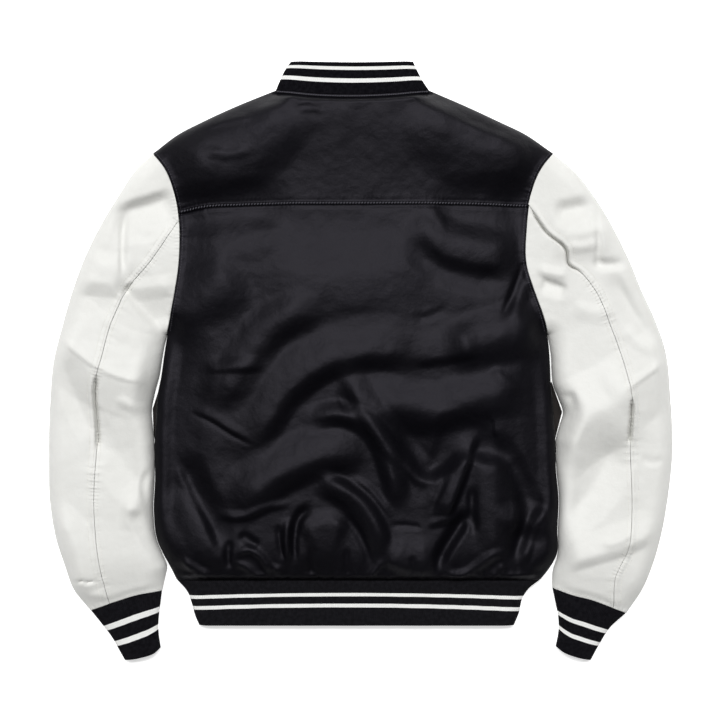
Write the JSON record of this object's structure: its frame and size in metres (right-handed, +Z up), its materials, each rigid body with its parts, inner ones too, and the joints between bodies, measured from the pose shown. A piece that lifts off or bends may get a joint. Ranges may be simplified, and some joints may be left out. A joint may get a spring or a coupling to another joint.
{
  "type": "varsity jacket",
  "caption": "Black varsity jacket with white sleeves and striped knit collar, cuffs and hem, laid flat with its back up.",
  "frame": {"origin": "middle of the bounding box on the surface that the jacket lies on", "axes": "+Z up from the surface, through the jacket's back; +Y towards its collar; +X towards its right sleeve as it is seen from above"},
  "size_m": [0.7812, 0.75, 0.046],
  "materials": {
    "shell": "satin woven",
    "sleeve": "coated, low sheen",
    "knit": "rib knit with white stripes",
    "welt": "glossy",
    "cap": "black enamelled snap cap"
  },
  "bodies": {
    "root": {"back_yoke": "shell", "back_body": "shell", "front_left": "shell", "front_right": "shell", "sleeve_left_outer": "sleeve", "sleeve_left_under": "sleeve", "sleeve_right_outer": "sleeve", "sleeve_right_under": "sleeve", "cuff_left": "knit", "cuff_right": "knit", "hem_rib": "knit", "collar_rib": "knit", "pocket_welt_left": "welt", "pocket_welt_right": "welt", "snap_cap_1": "cap", "snap_cap_2": "cap", "snap_cap_3": "cap", "snap_cap_4": "cap", "snap_cap_5": "cap", "snap_cap_6": "cap"}
  },
  "joints": []
}
